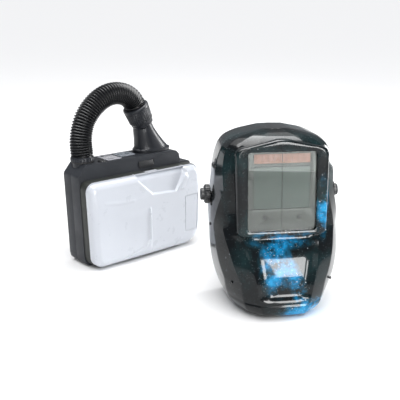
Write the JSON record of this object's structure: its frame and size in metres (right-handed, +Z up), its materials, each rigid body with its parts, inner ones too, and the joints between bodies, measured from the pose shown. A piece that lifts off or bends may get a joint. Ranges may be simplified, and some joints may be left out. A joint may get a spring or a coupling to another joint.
{
  "type": "powered air respirator",
  "caption": "Belt blower with hinged white filter cover and short corrugated breathing hose, beside a glossy auto-darkening welding helmet with ratchet headgear.",
  "frame": {"origin": "centre of the footprint of the whole set, on the surface it stands on", "axes": "+Z up, +X along the blower's width, the filter cover faces -Y, the helmet stands in front of it towards -Y"},
  "size_m": [0.3144, 0.502, 0.3441],
  "materials": {
    "housing_charcoal": "fine-textured moulded polymer",
    "cover_white": "smooth satin white moulding",
    "hose_black": "satin black corrugated hose",
    "trim_black": "satin black moulding",
    "helmet_shell": "gloss black and teal nebula print",
    "filter_glass": "green-grey filter glass",
    "clear_lens": "clear polycarbonate",
    "soft_black": "woven black fabric",
    "pad_foam": "foam-backed fabric",
    "panel_grey": "printed light grey panel",
    "button_grey": "blue-grey soft keys",
    "solar_brown": "salmon-brown photovoltaic strip",
    "steel": "bright steel",
    "filter_media": "off-white filter paper",
    "board_green": "solder mask",
    "seal_rubber": "soft black seal"
  },
  "bodies": {
    "blower": {"rear_housing": "housing_charcoal", "front_housing": "housing_charcoal", "belt_bracket": "trim_black", "hinge_pin_left": "steel", "hinge_pin_right": "steel", "fan_volute": "trim_black", "fan_motor": "steel", "control_board": "board_green", "display_panel": "panel_grey", "control_pad": "button_grey", "port_spigot": "trim_black", "port_seal": "seal_rubber", "hose_tube": "hose_black", "helmet_connector": "trim_black", "connector_seal": "seal_rubber"},
    "filter_cover": {"cover_frame": "housing_charcoal", "cover_shell": "cover_white", "particle_filter": "filter_media", "filter_seal": "seal_rubber", "prefilter": "filter_media", "spark_arrestor": "steel"},
    "impeller": {"impeller": "trim_black"},
    "battery": {"battery_pack": "housing_charcoal"},
    "battery_release": {"battery_release": "button_grey"},
    "latch_button": {"latch_button": "housing_charcoal"},
    "power_button": {"power_button": "button_grey"},
    "flow_down_button": {"flow_down_button": "button_grey"},
    "flow_up_button": {"flow_up_button": "button_grey"},
    "port_lock_ring": {"port_lock_ring": "trim_black"},
    "swivel_cuff": {"swivel_cuff": "trim_black"},
    "helmet": {"helmet_shell": "helmet_shell", "front_cover_lens": "clear_lens", "adf_housing": "trim_black", "adf_lens": "filter_glass", "solar_cell": "solar_brown", "arc_sensor_left": "filter_glass", "arc_sensor_right": "filter_glass", "inner_cover_lens": "clear_lens", "face_seal": "soft_black"},
    "lens_retainer": {"lens_retainer": "trim_black"},
    "shade_knob": {"shade_knob": "button_grey"},
    "sensitivity_knob": {"sensitivity_knob": "button_grey"},
    "test_button": {"test_button": "button_grey"},
    "tension_knob_left": {"tension_knob_left": "trim_black"},
    "tension_knob_right": {"tension_knob_right": "trim_black"},
    "headgear": {"pivot_arm_left": "trim_black", "pivot_arm_right": "trim_black", "headband": "trim_black", "sweatband": "pad_foam", "rear_pad": "pad_foam", "crown_strap": "trim_black", "ratchet_housing": "trim_black", "air_duct": "trim_black"},
    "ratchet_knob": {"ratchet_knob": "trim_black"}
  },
  "joints": [
    {"name": "cover_hinge", "type": "hinge", "parent": "blower", "child": "filter_cover", "pos_m": [-0.0228, 0.17655, 0.0029], "axis": [1, 0, 0], "range_deg": [0, 12]},
    {"name": "fan_spin", "type": "hinge", "parent": "blower", "child": "impeller", "pos_m": [-0.0728, 0.20705, 0.092], "axis": [0, 1, 0], "continuous": true},
    {"name": "battery_slide", "type": "slide", "parent": "blower", "child": "battery", "axis": [1, 0, 0], "range_m": [0, 0.12]},
    {"name": "battery_release_press", "type": "slide", "parent": "battery", "child": "battery_release", "axis": [-1, 0, 0], "range_m": [0, 0.002], "stiffness_N_per_m": 400},
    {"name": "latch_button_press", "type": "slide", "parent": "blower", "child": "latch_button", "axis": [0, 1, 0], "range_m": [0, 0.003], "stiffness_N_per_m": 600},
    {"name": "power_button_press", "type": "slide", "parent": "blower", "child": "power_button", "axis": [0, 0, -1], "range_m": [0, 0.0015], "stiffness_N_per_m": 300},
    {"name": "flow_down_button_press", "type": "slide", "parent": "blower", "child": "flow_down_button", "axis": [0, 0, -1], "range_m": [0, 0.001], "stiffness_N_per_m": 300},
    {"name": "flow_up_button_press", "type": "slide", "parent": "blower", "child": "flow_up_button", "axis": [0, 0, -1], "range_m": [0, 0.001], "stiffness_N_per_m": 300},
    {"name": "lock_ring_turn", "type": "hinge", "parent": "blower", "child": "port_lock_ring", "pos_m": [-0.1283, 0.21305, 0.205], "axis": [0, 0, 1], "range_deg": [0, 30]},
    {"name": "cuff_swivel", "type": "hinge", "parent": "blower", "child": "swivel_cuff", "pos_m": [0.0149, 0.21305, 0.2575], "axis": [-0.4261, 0, 0.9047], "continuous": true},
    {"name": "helmet_apart", "type": "slide", "parent": "blower", "child": "helmet", "axis": [0, -1, 0], "range_m": [0, 0.2]},
    {"name": "headgear_tilt", "type": "hinge", "parent": "helmet", "child": "headgear", "pos_m": [0.0465, -0.11468, 0.181], "axis": [0.8434, -0.5373, 0], "range_deg": [0, 24]},
    {"name": "tension_left_turn", "type": "hinge", "parent": "helmet", "child": "tension_knob_left", "pos_m": [-0.04627, -0.05557, 0.181], "axis": [0.8434, -0.5373, 0], "continuous": true},
    {"name": "tension_right_turn", "type": "hinge", "parent": "helmet", "child": "tension_knob_right", "pos_m": [0.13928, -0.17378, 0.181], "axis": [0.8434, -0.5373, 0], "continuous": true},
    {"name": "ratchet_turn", "type": "hinge", "parent": "headgear", "child": "ratchet_knob", "pos_m": [0.12978, 0.01605, 0.169], "axis": [0.5373, 0.8434, 0], "continuous": true},
    {"name": "retainer_swing", "type": "hinge", "parent": "helmet", "child": "lens_retainer", "pos_m": [0.00512, -0.17963, 0.13563], "axis": [-0.8434, 0.5373, 0], "range_deg": [0, 5]},
    {"name": "shade_turn", "type": "hinge", "parent": "helmet", "child": "shade_knob", "pos_m": [-0.01736, -0.16653, 0.1583], "axis": [0.5353, 0.8402, -0.0872], "range_deg": [0, 270]},
    {"name": "sensitivity_turn", "type": "hinge", "parent": "helmet", "child": "sensitivity_knob", "pos_m": [0.0265, -0.19447, 0.1583], "axis": [0.5353, 0.8402, -0.0872], "range_deg": [0, 270]},
    {"name": "test_button_press", "type": "slide", "parent": "helmet", "child": "test_button", "axis": [-0.5353, -0.8402, 0.0872], "range_m": [0, 0.001], "stiffness_N_per_m": 300}
  ]
}
